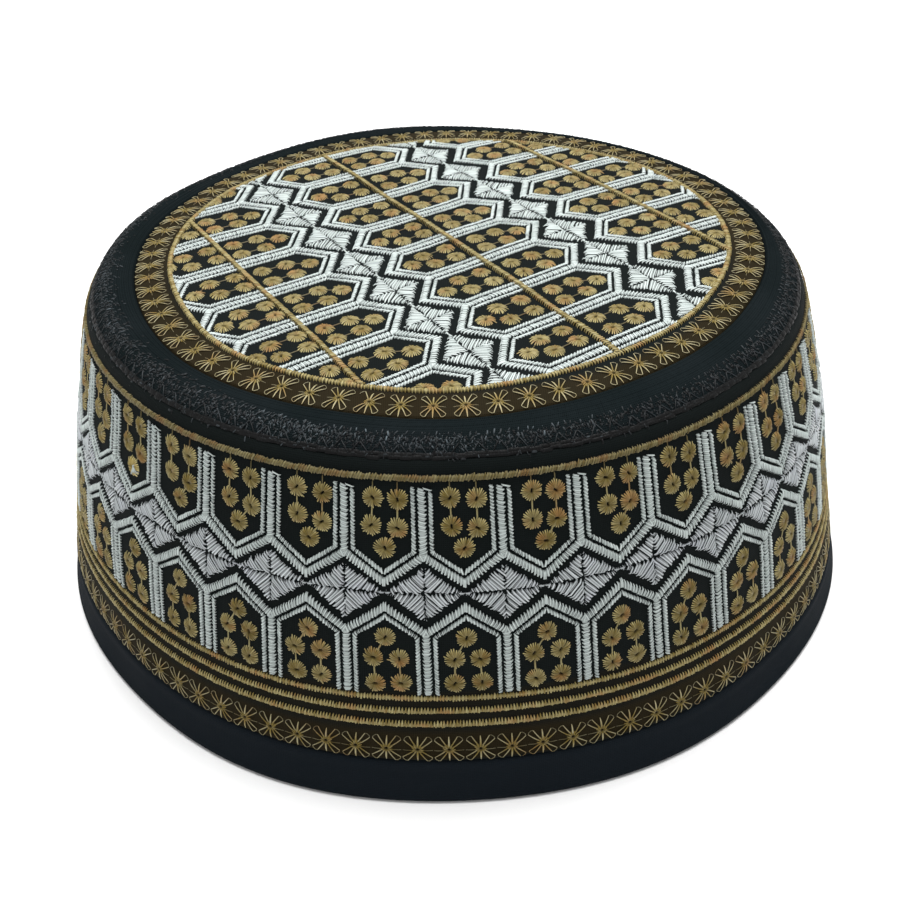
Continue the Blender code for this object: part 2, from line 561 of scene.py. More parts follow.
UPPER_MAP = ((0.37, 0.5), 196)  # middle in the bake map, and millimetres to its full width
LOWER_MAP = ((0.865, 0.2), 560)
UPPER_FROM = 0.0727             # height in metres above which a face is on the upper side


def crown_cloth(mat):
    """Slightly domed disc with an upper and a lower side, each flat in the bake map."""
    section = np.vstack([crown_line, (crown_line - (0.0, CROWN_WALL))[::-3]])
    section[-1, 0] = 0.0
    obj = turned("crown_cloth", section, mat, closed=False)
    work = bmesh.new()
    work.from_mesh(obj.data)
    bmesh.ops.remove_doubles(work, verts=work.verts, dist=0.000002)
    bake, weave = (work.loops.layers.uv[key] for key in ("OFBake", "Weave"))
    for face in work.faces:
        upper = face.normal.z > 0.0 and face.calc_center_median().z > UPPER_FROM
        middle, size = UPPER_MAP if upper else LOWER_MAP
        for loop in face.loops:
            x, y, _ = loop.vert.co / MM
            loop[weave].uv = (x, y)
            loop[bake].uv = (middle[0] + x / size, middle[1] + y / size)
    work.to_mesh(obj.data)
    work.free()
    return obj


# Stitches

STATIONS = np.array([0.0, 0.16, 0.84, 1.0])[:, None]   # along a straight stitch
END_SHADE = 0.78                # painted shade of a stitch where it enters the cloth
SUNK = -0.08                    # lift of a stitch's ends
FULL_LENGTH = 1.1               # shorter stitches are slimmer and lower
VALLEY = 0.36                   # painted shade: how dark a thread is along its two edges
PALE_VALLEY = 0.42              # the same in a rosette
CREST = 0.16                    # height of a thread's ridge over its edges
LOW_CREST = 0.12                # the same for stars and black stitches
ACROSS = np.array([-0.5, 0.0, 0.5])                    # from edge to edge of a stitch
RIDGE = np.array([0.3, 1.0, 1.0, 0.3])                 # share of the crest at each station


class Stitches:
    """Stitches of one piece, each a centre line of four stations in flat coordinates."""

    def __init__(self):
        self.parts = []

    def path(self, paths, widths, lifts, shades=1.0, tone=None, fade=0.0):
        """Adds stitches that follow four points each; widths, lifts, shades and fade broadcast."""
        paths = np.asarray(paths, float).reshape(-1, 4, 2)
        count = len(paths)
        tones = (rng.random((count, 1)) if tone is None else tone) + np.asarray(fade)
        spread = [np.broadcast_to(values, (count, 4)) for values in (widths, lifts, shades, tones)]
        self.parts.append((paths, *spread))

    def straight(self, starts, ends, width, height, taper=(0.5, 0.5), shade=1.0, tone=None, bow=0.0):
        """Adds straight stitches that sink into the cloth at both ends."""
        starts, ends = np.asarray(starts, float), np.asarray(ends, float)
        count = len(starts)
        paths = starts[:, None] + (ends - starts)[:, None] * STATIONS
        if bow:
            side = (ends - starts)[:, ::-1] * (1, -1)
            paths[:, 1:3] += (side * rng.normal(0, bow, (count, 1)))[:, None]
        length = np.linalg.norm(ends - starts, axis=1)[:, None]
        slim = np.clip(length / FULL_LENGTH, 0.35, 1.0)
        widths = width * slim * np.array([taper[0], 1.0, 1.0, taper[1]]) * rng.uniform(0.9, 1.1, (count, 1))
        middle = height * slim + rng.normal(0, 0.03, (count, 1))
        lifts = np.where((False, True, True, False), middle, SUNK)
        # Painted shade at both ends, where the stitch dives into the cloth.
        shades = shade * np.array([END_SHADE, 1.0, 1.0, END_SHADE]) * np.ones((count, 1))
        self.path(paths, widths, lifts, shades, tone)

    def arrays(self):
        return tuple(np.concatenate(part) for part in zip(*self.parts))

    def keep(self, mask):
        self.parts = [tuple(values[mask] for values in self.arrays())]

    def clip(self, inset):
        """Drops stitches outside the gold circle and shortens those that cross it."""
        out = outside(self.arrays()[0], inset)
        some_in = out.min(1) < 0.0
        self.keep(some_in)
        paths, out = self.parts[0][0], out[some_in]
        for i in np.nonzero(out.max(1) > 0.0)[0]:
            inner, outer = (0, 3) if out[i, 0] < out[i, 3] else (3, 0)
            share = np.clip(-out[i, inner] / max(out[i, outer] - out[i, inner], 0.01), 0.05, 1.0)
            paths[i] = paths[i, inner] + (paths[i] - paths[i, inner]) * share

    def pick_out(self, spot, reach):
        """Drops the stitches whose middle lies within reach of a spot."""
        paths = self.arrays()[0]
        middle = (paths[:, 1] + paths[:, 2]) / 2 - np.array(spot)
        self.keep(np.hypot(middle[:, 0], middle[:, 1]) > reach)


def sewn(name, stitches, place, bake_map, mat, slot, crest=CREST, valley=VALLEY):
    """The mesh of some stitches: each is a strip with a raised ridge along its middle."""
    paths, widths, lifts, shades, tones = stitches.arrays()
    count = len(paths)
    way = np.gradient(paths, axis=1)
    way /= np.maximum(np.linalg.norm(way, axis=-1, keepdims=True), 1e-6)
    side = np.stack([-way[..., 1], way[..., 0]], -1)
    flat = paths[:, :, None] + side[:, :, None] * (ACROSS[:, None] * widths[:, :, None, None])
    lift = lifts[:, :, None] + np.array([0.0, 1.0, 0.0]) * (RIDGE[:, None] * crest)
    points = place(flat, lift).reshape(-1, 3)
    station, cross = face_corners(3, 2)
    quad = station * 3 + cross
    faces = (np.arange(count)[:, None, None] * 12 + quad).reshape(-1, 4)[:, ::-1]
    # Painted shade: each thread is darker along its two edges, in the valleys between threads.
    shade = shades[:, :, None] * np.array([valley, 1.0, valley])
    steps = np.linalg.norm(np.diff(paths, axis=1), axis=-1)
    reach = np.concatenate([np.zeros((count, 1)), np.cumsum(steps, axis=1)], 1)
    strand = np.stack(np.broadcast_arrays(reach[:, :, None], ACROSS * 0.4), -1)
    pairs = (("OFBake", bake_map(paths, flat)), ("Strand", strand))
    maps = [(key, values.reshape(-1, 2)[faces.ravel()]) for key, values in pairs]
    attributes = (("tone", np.repeat(tones.ravel(), 3)), ("shade", shade.ravel()))
    obj = new_object(name, points, faces, mat, maps, attributes)
    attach(obj, "root")
    return obj


def band_map(low, high, strips=4):
    """Bake map of a band between two heights, cut into strips that lie above each other."""
    def place(paths, flat):
        turns = flat[..., 0] / ROUND * strips
        strip = np.floor(paths[:, :, 0].mean(1) / ROUND * strips)[:, None, None]
        up = (flat[..., 1] - low) / (high - low)
        across = (strip % strips + up * 0.94 + 0.03) / strips
        return np.stack([(turns - strip) * 0.97 + 0.015, across], -1)
    return place


def disc_map(paths, flat):
    """Bake map of the crown and shoulder, seen from above."""
    return flat / 160.0 + 0.5


def rail(points, share):
    """Points at those shares of a polyline's length."""
    length = lengths(np.asarray(points, float))
    return np.stack([np.interp(share * length[-1], length, column) for column in zip(*points)], -1)


def as_laid(points):
    return points


def satin(
    stitches, first, second, pitch, width, height, place=as_laid, lean=0.0, bend=0.0, shade=1.0, bow=0.0,
    notch=(0.06, 0.3), ragged=0.05, taper=(0.8, 0.5), under=(0.86, 0.09, 0.74),
):
    """Close stitches from one rail to another; every other one is lower and stops short.

    lean shifts the far ends along their rail, notch says how far the short ones stop from
    each rail, under gives their share of the width, their drop and their painted shade, bend
    draws the far ends back towards the middle, and place moves the whole from pattern to cloth.
    """
    length = lengths(second)[-1]
    count = 2 * max(int(round(length / pitch)), 2)
    share = (np.arange(count) + 0.5) / count
    jitter = 0.1 / count
    near = np.clip(share + rng.normal(0, jitter, count), 0, 1)
    shift = lean(share) if callable(lean) else lean
    far = share + shift / length - bend * np.sin(np.clip((share - 0.42) / 0.58, 0, 1) * math.pi)
    far = np.clip(far + rng.normal(0, jitter, count), -0.02, 1)
    starts, ends = rail(first, near), rail(second, far)
    way = ends - starts
    reach = np.maximum(np.linalg.norm(way, axis=1, keepdims=True), 1e-6)
    way = way / reach
    short = (np.arange(count) % 2)[:, None]
    cut = np.minimum(1.0, reach / 2.0)
    starts = place(starts + way * (short * notch[0] * cut + rng.normal(0, ragged, (count, 1))))
    ends = place(ends - way * (short * notch[1] * cut + rng.normal(0, ragged, (count, 1))))
    # The short ones lie lower and carry painted shade.
    for which, (part, drop, darker) in enumerate(((1.0, 0.0, 1.0), under)):
        pair = starts[which::2], ends[which::2]
        stitches.straight(*pair, width * part, height - drop, taper, darker * shade, bow=bow)


POST_PITCH = 0.78
THIN_PITCH = 0.64
DIAGONAL_PITCH = 0.67
DIAMOND_PITCH = 0.62
POST_WIDTH = 0.42
SATIN_WIDTH = 0.38
SLANT_WIDTH = 0.34
THIN_LOOKS = dict(notch=(0.18, 0.22), ragged=0.04, taper=(0.55, 0.55), under=(0.9, 0.06, 0.74))
POST_LOOKS = dict(notch=(0.2, 0.3), under=(0.95, 0.05, 0.85))
SLANT_LOOKS = dict(notch=(0.08, 0.42), under=(0.86, 0.10, 0.68))
DIAMOND_LOOKS = dict(
    bend=0.05, notch=(0.24, 0.40), ragged=0.19, taper=(0.8, 0.55), bow=0.025, under=(0.8, 0.10, 0.54)
)


def outward(most):
    """A lean that grows from nothing at the tip to its most beside the post."""
    return lambda share: most * np.clip(share * 1.6, 0.0, 1.0)


def turning(near_node, near_end):
    """A lean that changes from one to the other a third of the way up the post."""
    return lambda share: near_node + (near_end - near_node) * step(share, 0.2, 0.5)


def thin_line(stitches, place, side, end, tip, lean, low):
    """The thin line beside a wide one: a run along the diagonal and a run up the post."""
    tall = THIN / 2 * SLANT
    slants, uprights = [], []
    for edge in (-1, 1):
        x = side * (THIN_OFFSET + edge * THIN / 2)
        bend = tip + edge * tall + (CELL / 2 - abs(x)) * STEEP
        slants.append(((side * CELL / 2, tip + edge * tall), (x, bend)))
        uprights.append(((x, bend), (x, end)))
    for run, run_lean in ((slants, 0.45), (uprights, lean)):
        satin(stitches, *run, THIN_PITCH, SATIN_WIDTH, 0.30 * low, place, run_lean, **THIN_LOOKS)


def lattice_half(
    stitches, place, end, rise=0.0, lean=0.3, thin_leans=(0.4, 0.4), leans=(1.3, 0.4), bridge=True, low=1.0
):
    """One post and its two diagonals, each a wide line with a thin one beside it.

    end is where the post ends and rise how much further out the whole lies; the leans are
    the slants of the stitches, bridge joins the post's end to a thin line, and low is the
    share of the full thread height.
    """
    half = WIDE / 2 * SLANT
    joint = NODE + rise
    tip = TIP + rise
    thin_tip = tip + THIN_OFFSET * SLANT
    neck = joint - half + 0.25
    rails = [
        ((side * 0.3, neck + 0.35), (side * WIDE / 2, joint + 0.5), (side * WIDE / 2, end))
        for side in (-1, 1)
    ]
    satin(stitches, *rails, POST_PITCH, POST_WIDTH, 0.32 * low, place, lean, **POST_LOOKS)
    for side, most, thin_lean in zip((-1, 1), leans, thin_leans):
        high = ((side * CELL / 2, tip + half), (side * 0.25, joint + half - 0.25 * STEEP))
        foot = ((side * CELL / 2, tip - half), (side * -0.1, joint - half + 0.1 * STEEP))
        sizes = (DIAGONAL_PITCH, SLANT_WIDTH, 0.42 * low)
        satin(stitches, high, foot, *sizes, place, outward(most), **SLANT_LOOKS)
        top = end - (0.45 if side > 0 and bridge else 0.0)
        thin_line(stitches, place, side, top, thin_tip, thin_lean, low)
    if bridge:
        start = np.array([(WIDE / 2 - 0.6, end - 0.1)])
        stop = np.array([(THIN_OFFSET + 0.36, end - 0.6)])
        stitches.straight(place(start), place(stop), 0.28, 0.36)


def diamond(stitches, place, height=0.32):
    """Four quarters of satin from the diamond's axes out to its edges."""
    wide, above, below = DIAMOND
    gap = 0.07
    for side in (-1, 1):
        for tall in (above, -below):
            flip = math.copysign(1.0, tall)
            axis = ((side * gap, tall * 0.98), (side * gap, flip * gap), (side * wide, flip * gap))
            edge = ((side * 0.2, tall * 1.02), (side * wide, flip * 0.1))
            satin(stitches, axis, edge, DIAMOND_PITCH, 0.36, height, place, **DIAMOND_LOOKS)
        tips = np.array([(side * wide * 0.86, 0.1), (side * wide * 0.9, -0.12)])
        ends = np.array([(side * CELL / 2, 0.04), (side * CELL / 2 * 0.99, -0.02)])
        stitches.straight(place(tips), place(ends), 0.26, 0.16)


ROSETTE_PETALS = 26


def rosette(stitches, centre, reach, pale=False):
    """A ring of stitches that run out from a small dark slit to pale tips."""
    column = (ROSETTE_PETALS, 1)
    turn = np.arange(ROSETTE_PETALS) / ROSETTE_PETALS * TAU + rng.uniform(0, TAU)
    turn = turn + rng.normal(0, 0.025, ROSETTE_PETALS)
    way = polar(turn, 1.0) * reach
    slit = rng.uniform(0, math.pi)
    hole = 0.11 * (1.0 + 0.55 * np.cos(2 * (turn - slit)))[:, None] + rng.normal(0, 0.01, column)
    out = rng.normal(1.0, 0.055, column)
    share = np.concatenate([hole, hole + 0.13, out * 0.72, out], 1)
    paths = np.asarray(centre) + way[:, None] * share[..., None]
    widths = np.array([0.14, 0.22, 0.37, 0.2]) * rng.uniform(0.85, 1.1, column)
    dip = 0.06 * (np.arange(ROSETTE_PETALS) % 2)[:, None]
    lifts = np.array([-0.05, 0.32, 0.32, 0.02]) - dip
    # Painted shade: each petal is darkest where it dives into the slit and a little brighter than full at its
    # tip.
    shades = np.array([0.2, 0.8, 0.92, 1.12]) * rng.uniform(0.8, 1.15, column)
    tone = rng.uniform(0.0, 0.4)
    tones = tone + rng.normal(0, 0.15, column) + np.array([-0.4, 0.0, 0.1, 1.0])
    stitches.path(paths, widths, lifts, shades * (1.8 if pale else 1.0), tone=0.0, fade=tones)


STAR_FADE = (-0.5, -0.2, 0.35, 0.8)  # star threads grow paler from hub to tip
HUB_RAYS = 10


def star(stitches, centre, turn, sizes, join):
    """A star of two short bars, two joining threads and four open petals.

    sizes are the petals' half spread, and their reach up and down; join is how far the
    joining threads reach to each side, and their offset from the middle.
    """
    wide, above, below = sizes
    cos, sin = math.cos(turn), math.sin(turn)

    def put(points):
        x, y = np.moveaxis(np.asarray(points, float), -1, 0)
        return np.stack([centre[0] + x * cos - y * sin, centre[1] + x * sin + y * cos], -1)

    def threads(points, widths, lifts, shades):
        stitches.path(put(points), widths, lifts, shades, fade=STAR_FADE)

    jog = rng.normal(0, 0.08, (4, 2))
    bars = [[(0, 0.35), (0, 0.9), (0, above * 0.66), (0, above * 0.94)],
            [(0, -0.35), (0, -0.9), (0, -below * 0.68), (0, -below * 1.0)]]
    threads(bars, (0.22, 0.36, 0.30, 0.12), (0.05, 0.3, 0.25, 0.0), (0.8, 1.0, 1.1, 1.2))
    reach, offset = join
    outline = ((0.3, offset * 0.5), (1.0, offset), (reach * 0.75, offset), (reach, offset))
    joins = [[(side * out, up) for out, up in outline] for side in (-1, 1)]
    threads(joins, (0.2, 0.16, 0.13, 0.12), (0.05, 0.08, 0.05, 0.0), (0.6, 0.6, 0.5, 0.45))
    for index, (side, tall) in enumerate(((1, above), (-1, above), (1, -below), (-1, -below))):
        flip = math.copysign(1.0, tall)
        inner, outer, cap = (
            np.array((side * wide * out, tall * up)) + jog[index] * 0.6
            for out, up in ((0.74, 0.97), (1.16, 0.68), (1.06, 0.94))
        )
        for tip, hub, bow in ((inner, (0.12, 0.30), 0.0), (outer, (0.30, 0.12), -0.01)):
            hub = np.array((side * hub[0], flip * hub[1]))
            bulge = (tip - hub)[::-1] * (-1, 1) * bow * side * flip
            points = [hub, hub + (tip - hub) * 0.35 + bulge, hub + (tip - hub) * 0.72 + bulge, tip]
            threads(points, (0.28, 0.25, 0.19, 0.15), (0.1, 0.28, 0.24, 0.14), (0.6, 0.95, 1.0, 1.0))
        loop = [inner, inner * 0.45 + cap * 0.55, outer * 0.45 + cap * 0.55, outer]
        stitches.path(put(loop), 0.13, (0.14, 0.1, 0.1, 0.14), 0.5 if tall > 0 else 0.8, fade=0.6)
    spin = np.arange(HUB_RAYS) / HUB_RAYS * TAU + rng.uniform(0, TAU)
    ray = put(polar(spin, 1.0)) - np.asarray(centre)
    rays = np.asarray(centre) + ray[:, None] * np.array([0.22, 0.42, 0.75, 1.1])[:, None]
    stitches.path(rays, (0.16, 0.32, 0.36, 0.18), (0.1, 0.3, 0.26, 0.02), (0.12, 0.7, 1.0, 1.0), fade=-0.7)


# Embroidery of the side band

UPPER_HALF = dict(end=20.55, lean=turning(0.6, -0.5), thin_leans=(0.35, -0.85))
LOWER_HALF = dict(end=21.6, rise=0.75, lean=-0.2, thin_leans=(0.5, 0.5), leans=(0.9, 0.4), bridge=False)
UPPER_GROUP = ((-2.4, 64.35), (2.4, 63.95), (-2.4, 59.3), (2.4, 58.85), (0.0, 55.15))
LOWER_GROUP = ((0.0, 37.5), (-2.4, 33.15), (2.4, 33.2), (-2.4, 27.9), (2.4, 27.95))
UPPER_REACH = (1.98, 1.88)      # of a rosette, along and up
LOWER_REACH = (1.9, 2.0)
UPPER_DRIFT = 0.45
FRAYED_CELL = -5                # the cell whose single upper rosette is frayed and pale
UNDERLAY = 210                  # pieces of the cord along each lower gold line


def band_height(across):
    """Height on the band of a distance across the chain."""
    return CHAIN_HEIGHT + np.where(across > 0, across / 1.043, across / 1.02)


def cell_place(index, sign=1):
    """Places lattice positions of one cell on the band."""
    def place(points):
        return np.stack([points[:, 0] + FIRST_CELL + index * CELL, band_height(sign * points[:, 1])], -1)
    return place


def frayed_ends(stitches, spot, count=14):
    """Loose pale ends that stand off one rosette, mostly downward."""
    aim = rng.normal(-1.1, 0.45, count)
    way = polar(aim, 1.0)
    begin = np.array(spot) + (0.4, 0.3) + way * rng.uniform(-0.8, 0.2, (count, 1))
    stitches.straight(begin, begin + way * rng.uniform(1.0, 2.0, (count, 1)), 0.24, 0.5, bow=0.03, shade=0.85)


def band_lattice(white, pale):
    objects = []
    halves = (
        ("band_white_upper", 1, UPPER_HALF, (44.0, 70.0)),
        ("band_white_lower", -1, LOWER_HALF, (22.0, 49.0)),
    )
    for name, sign, sizes, span in halves:
        stitches = Stitches()
        for index in range(CELLS):
            lattice_half(stitches, cell_place(index, sign), **sizes)
        if sign > 0:
            frayed_ends(stitches, (FIRST_CELL + (FRAYED_CELL + 0.5) * CELL + UPPER_DRIFT, 55.0))
        objects.append(sewn(name, stitches, on_band, band_map(*span), white, "white_thread"))
    stitches = Stitches()
    for index in range(CELLS):
        diamond(stitches, cell_place(index))
    objects.append(sewn("band_diamonds", stitches, on_band, band_map(40.0, 53.0, 6), pale, "white_thread"))
    return objects


def jump_threads(stitches, spots, pairs):
    """Threads from one rosette to the next, in the gaps between them."""
    starts, ends = (np.array([spots[i] for i in side]) for side in zip(*pairs))
    inset = (ends - starts) * 0.3
    stitches.straight(starts + inset, ends - inset, 0.32, 0.16, taper=(0.6, 0.6), shade=0.72, tone=1.0)


def band_rosettes(gold):
    stitches = Stitches()
    for index in range(CELLS):
        middle = FIRST_CELL + (index + 0.5) * CELL
        drift = UPPER_DRIFT + rng.normal(0, 0.15)
        spots = [np.array((middle + drift + x, z)) + rng.normal(0, 0.09, 2) for x, z in UPPER_GROUP]
        for number, spot in enumerate(spots):
            rosette(stitches, spot, UPPER_REACH, number == 4 and index == CELLS + FRAYED_CELL)
        begin = np.array([spots[0] + (0, 1.4), spots[1] + (0, 1.4)])
        end = np.array([spots[0] + (0, 3.0), spots[1] + (0, 3.2)])
        stitches.straight(begin, end, 0.24, 0.1, taper=(0.8, 0.8), shade=0.4, tone=0.5)
        jump_threads(stitches, spots, ((0, 2), (1, 3), (3, 4)))
        spots = [np.array((middle + x, z)) + rng.normal(0, 0.09, 2) for x, z in LOWER_GROUP]
        for spot in spots:
            rosette(stitches, spot, LOWER_REACH)
        spots += [spots[3] - (0, 2.8), spots[4] - (0, 2.8)]
        jump_threads(stitches, spots, ((0, 1), (1, 3), (2, 4), (3, 5), (4, 6)))
    strips = band_map(24.0, 69.0)
    return sewn("band_rosettes", stitches, on_band, strips, gold, "gold_thread", valley=PALE_VALLEY)


def ring_rails(low, high, count=400):
    """Two rails right round the band, at two heights."""
    turn = np.linspace(-ROUND / 2, ROUND / 2, count)
    return tuple(np.stack([turn, np.full(count, height)], -1) for height in (low, high))


TOP_PITCH = 0.5 * CHAIN_RADIUS / 79.6       # 0.5 on the cloth, where the radius is 79.6
LOWER_PITCH = 0.6 * CHAIN_RADIUS / 90.5     # 0.6 on the cloth, where the radius is 90.5
LINE_WIDTH = 0.32               # of a thread in the gold lines
TOP_LOOKS = dict(notch=(0.18, 0.18), ragged=0.09, taper=(0.6, 0.6), under=(0.9, 0.04, 0.72))
FLAT_LOOKS = dict(notch=(0.40, 0.40), taper=(0.45, 0.40), under=(1.0, 0.02, 0.95))
COMB_LOOKS = dict(notch=(0.0, 0.95), taper=(0.9, 0.35), under=(1.05, -0.02, 1.05))


def band_gold_lines(gold):
    """The top line, a flat lower line, and two whose stitches stand up like a comb's teeth."""
    stitches = Stitches()
    rails = ring_rails(*TOP_LINE)
    # Painted shade: the top line is darkened where it lies under the roll's edge.
    satin(stitches, *rails, TOP_PITCH, LINE_WIDTH, 0.28, shade=0.55, lean=0.6, **TOP_LOOKS)
    looks = (FLAT_LOOKS, COMB_LOOKS, COMB_LOOKS)
    for (bottom, top), look, rib in zip(LOWER_LINES, looks, (0.5, 0.27, 0.27)):
        rails = ring_rails(bottom, top)
        satin(stitches, *rails, LOWER_PITCH, LINE_WIDTH, 0.26, lean=0.06, ragged=0.07, **look)
        along = np.arange(UNDERLAY) * ROUND / UNDERLAY
        height = bottom + (top - bottom) * rib
        begin = np.stack([along - 0.2, np.full(UNDERLAY, height)], -1)
        end = np.stack([along + ROUND / UNDERLAY + 0.2, height + rng.normal(0, 0.03, UNDERLAY)], -1)
        stitches.straight(begin, end, 0.46, 0.16, taper=(0.9, 0.9), shade=0.8)
    strips = band_map(17.0, 69.5, 5)
    return sewn("band_gold_lines", stitches, on_band, strips, gold, "gold_thread", valley=0.5)


def band_stars(gold):
    stitches = Stitches()
    for index in range(STARS):
        centre = (FIRST_STAR + (index - STARS // 2) * ROUND / STARS, STAR_HEIGHT)
        star(stitches, centre, rng.normal(0, 0.03), (2.14, 2.95, 2.8), (2.6, -0.35))
    strips = band_map(9.5, 17.0, 12)
    return sewn("band_stars", stitches, on_band, strips, gold, "gold_thread", crest=LOW_CREST)


# Embroidery of the crown

CROWN_CELLS = range(-4, 5)
CROWN_HALVES = (                # chain, side, rise of the lattice and shift of its rosettes
    (0, 1, 0.8, 0.0), (1, -1, 0.3, 0.0), (1, 1, 0.43, -0.3),
    (2, -1, 0.8, 0.0), (2, 1, 1.15, 0.0), (3, -1, 0.8, 0.0),
)
CROWN_STRETCH = 1.08            # the crown's chains are taller than the band's
CROWN_GROUP = ((0.0, 9.0), (-2.45, 13.5), (2.45, 13.55), (-2.45, 19.2), (2.45, 19.25))
CROWN_REACH = (2.06, 2.06)
CROWN_LOW = 0.62                # the crown's stitches lie flatter than the band's
MISSED_STITCH = (-16.55, -63.2)  # between two stars, where a join and two petals are missing


def chain_spot(cell, across):
    """Place along the chains of a cell number, at a distance across the pattern."""
    numbers = np.arange(11) - 5
    first, second, bend = (np.interp(cell, numbers, table) for table in (*CELL_SPOTS, POST_BEND))
    low, high = CHAINS[1:3]
    share = np.clip((across - low) / (high - low), 0.0, 1.0)
    middle = first + (second - first) * share + bend * 4 * share * (1 - share)
    below, above = np.clip(low - across, 0, None), np.clip(across - high, 0, None)
    return middle + (0.006 + 0.001 * middle) * below + 0.02 * above


def pattern_place(spot, across):
    """Position on the crown of a place along the chains and a distance across them."""
    cos, sin = math.cos(PATTERN_TURN), math.sin(PATTERN_TURN)
    least, growth, start = FAN
    across = across + (least + growth * np.clip(across - start, 0.0, 60.0)) * spot
    x = CROWN_CENTRE[0] + across * cos + spot * sin
    y = CROWN_CENTRE[1] + across * sin - spot * cos
    return np.stack([x, y], -1)


def crown_place(chain, index, sign=1, stretch=1.0):
    """Places lattice positions around a chain on the crown."""
    def place(points):
        across = CHAINS[chain] + sign * points[:, 1] * stretch
        spot = chain_spot(index + points[:, 0] / CELL, across)
        return pattern_place(spot, across + 0.15 * np.sin(spot / 13.0 + chain))
    return place


def on_disc(name, stitches, mat, slot, **looks):
    return sewn(name, stitches, on_crown, disc_map, mat, slot, **looks)


def crown_lattice(white):
    stitches = Stitches()
    for chain, sign, rise, _ in CROWN_HALVES:
        for index in CROWN_CELLS:
            place = crown_place(chain, index, sign, CROWN_STRETCH)
            lattice_half(stitches, place, end=21.2, rise=rise, leans=(0.7, 0.7), bridge=False, low=CROWN_LOW)
    stitches.clip(0.2)
    lattice = on_disc("crown_white_lines", stitches, white, "white_thread")
    stitches = Stitches()
    for chain in (1, 2):
        for index in CROWN_CELLS:
            diamond(stitches, crown_place(chain, index, 1, CROWN_STRETCH), height=0.24)
    stitches.clip(0.2)
    return [lattice, on_disc("crown_diamonds", stitches, white, "white_thread")]


def crown_rosettes(gold):
    stitches = Stitches()
    for chain, sign, _, shift in CROWN_HALVES:
        drift = 0.5 if sign < 0 else 0.0
        for index in CROWN_CELLS:
            group = np.array(CROWN_GROUP) + (CELL / 2 + drift, shift) + rng.normal(0, 0.1, (5, 2))
            spots = crown_place(chain, index, sign)(group)
            out = outside(spots, 0.0)
            for spot in spots[out < 1.2]:
                rosette(stitches, spot, CROWN_REACH)
            if out.max() < 0.0:
                pair = spots[[0, 1, 2]], spots[[1, 3, 4]]
                stitches.straight(*pair, 0.22, 0.1, taper=(0.8, 0.8), shade=0.35, tone=0.4)
    stitches.clip(0.3)
    return on_disc("crown_rosettes", stitches, gold, "gold_thread", valley=PALE_VALLEY)


def crown_gold_lines(gold):
    stitches = Stitches()
    looks = dict(notch=(0.2, 0.2), taper=(0.6, 0.6), under=(0.8, 0.1, 0.6))
    for line in GOLD_LINES:
        spot = np.linspace(-64.0, 64.0, 120)
        rails = [pattern_place(spot, line + edge + 0.1 * np.sin(spot / 11.0 + line)) for edge in (-0.7, 0.7)]
        satin(stitches, *rails, 0.66, 0.40, 0.62, lean=0.4, **looks)
    stitches.clip(0.2)
    turn = np.linspace(0.0, TAU, 400)
    middle = wander(GOLD_CIRCLE, turn)[:, None]
    rails = [
        polar(turn, 1.0) * (middle + edge * CIRCLE_WIDTH / 2) + np.array(CROWN_CENTRE)
        for edge in (-1, 1)
    ]
    satin(stitches, *rails, 0.64, 0.38, 0.40, lean=0.1, notch=(0.1, 0.4), under=(0.9, 0.05, 0.75))
    return on_disc("crown_gold_lines", stitches, gold, "gold_thread")


def ring_spots(count, first):
    """Points evenly spaced along the ring of stars, and the turn of the ring at each."""
    turn = np.linspace(0.0, TAU, 721) - TAU / 4
    length = lengths(polar(turn, wander(STAR_RING, turn)))
    turns = np.interp((np.arange(count) + first) / count * length[-1], length, turn)
    ends = [wander(STAR_RING, turns + nudge)[:, None] * polar(turns + nudge, 1.0) for nudge in (-0.02, 0.02)]
    way = ends[1] - ends[0]
    return zip((ends[0] + ends[1]) / 2 + np.array(CROWN_CENTRE), np.arctan2(way[:, 1], way[:, 0]))


def crown_stars(gold):
    stitches = Stitches()
    for spot, turn in ring_spots(RING_STARS, 0.27):
        star(stitches, tuple(spot), turn, (2.0, 3.25, 3.1), (2.3, 0.0))
    stitches.pick_out(MISSED_STITCH, 1.7)
    return on_disc("crown_stars", stitches, gold, "gold_thread", crest=LOW_CREST)


# Black stitching of the shoulder

SHOULDER_ROWS = ((74.0, 74.7, 330, 0.32), (75.0, 75.8, 400, 0.34))   # inner, outer, count, width
FUZZ = 4900                     # short loose stitches that give the roll its rough look
FUZZ_MIDDLE = 75.4              # radius where they lie closest
COVER = 260                     # longer ones in each of two rows that close the seam
SPECKS = 260                    # short stitches that lie along the seam
ZIGZAGS = 138                   # inner corners of the zigzag over the seam
ZIGZAG = (75.9, 77.55)          # radii of its inner and outer corners


def painted_light_round(turn):
    """Painted light: a share of brightness, greatest at the front left, that comes and goes around the cap.
    """
    near = 0.5 + 1.5 * (0.5 + 0.5 * np.cos(turn + 2.1)) ** 2
    return near * np.clip(0.66 + 0.34 * np.sin(9 * turn + 2.0 * np.sin(4 * turn)), 0.25, 1.0)


def stitch_rows(stitches):
    """Rows of short stitches that run outward over the roll."""
    for inner, outer, count, width in SHOULDER_ROWS:
        turn = np.arange(count) / count * TAU + rng.normal(0, 0.003, count)
        wave = -0.3 * np.cos(3 * turn)
        begin = polar(turn, inner + wave + rng.normal(0, 0.15, count))
        end = polar(turn + rng.normal(0, 0.004, count), outer + wave + rng.normal(0, 0.15, count))
        # Painted light: the stitches are brighter where the light catches the roll.
        shade = (painted_light_round(turn) * rng.uniform(0.4, 1.2, count))[:, None]
        stitches.straight(begin, end, width, 0.10, bow=0.05, shade=shade)


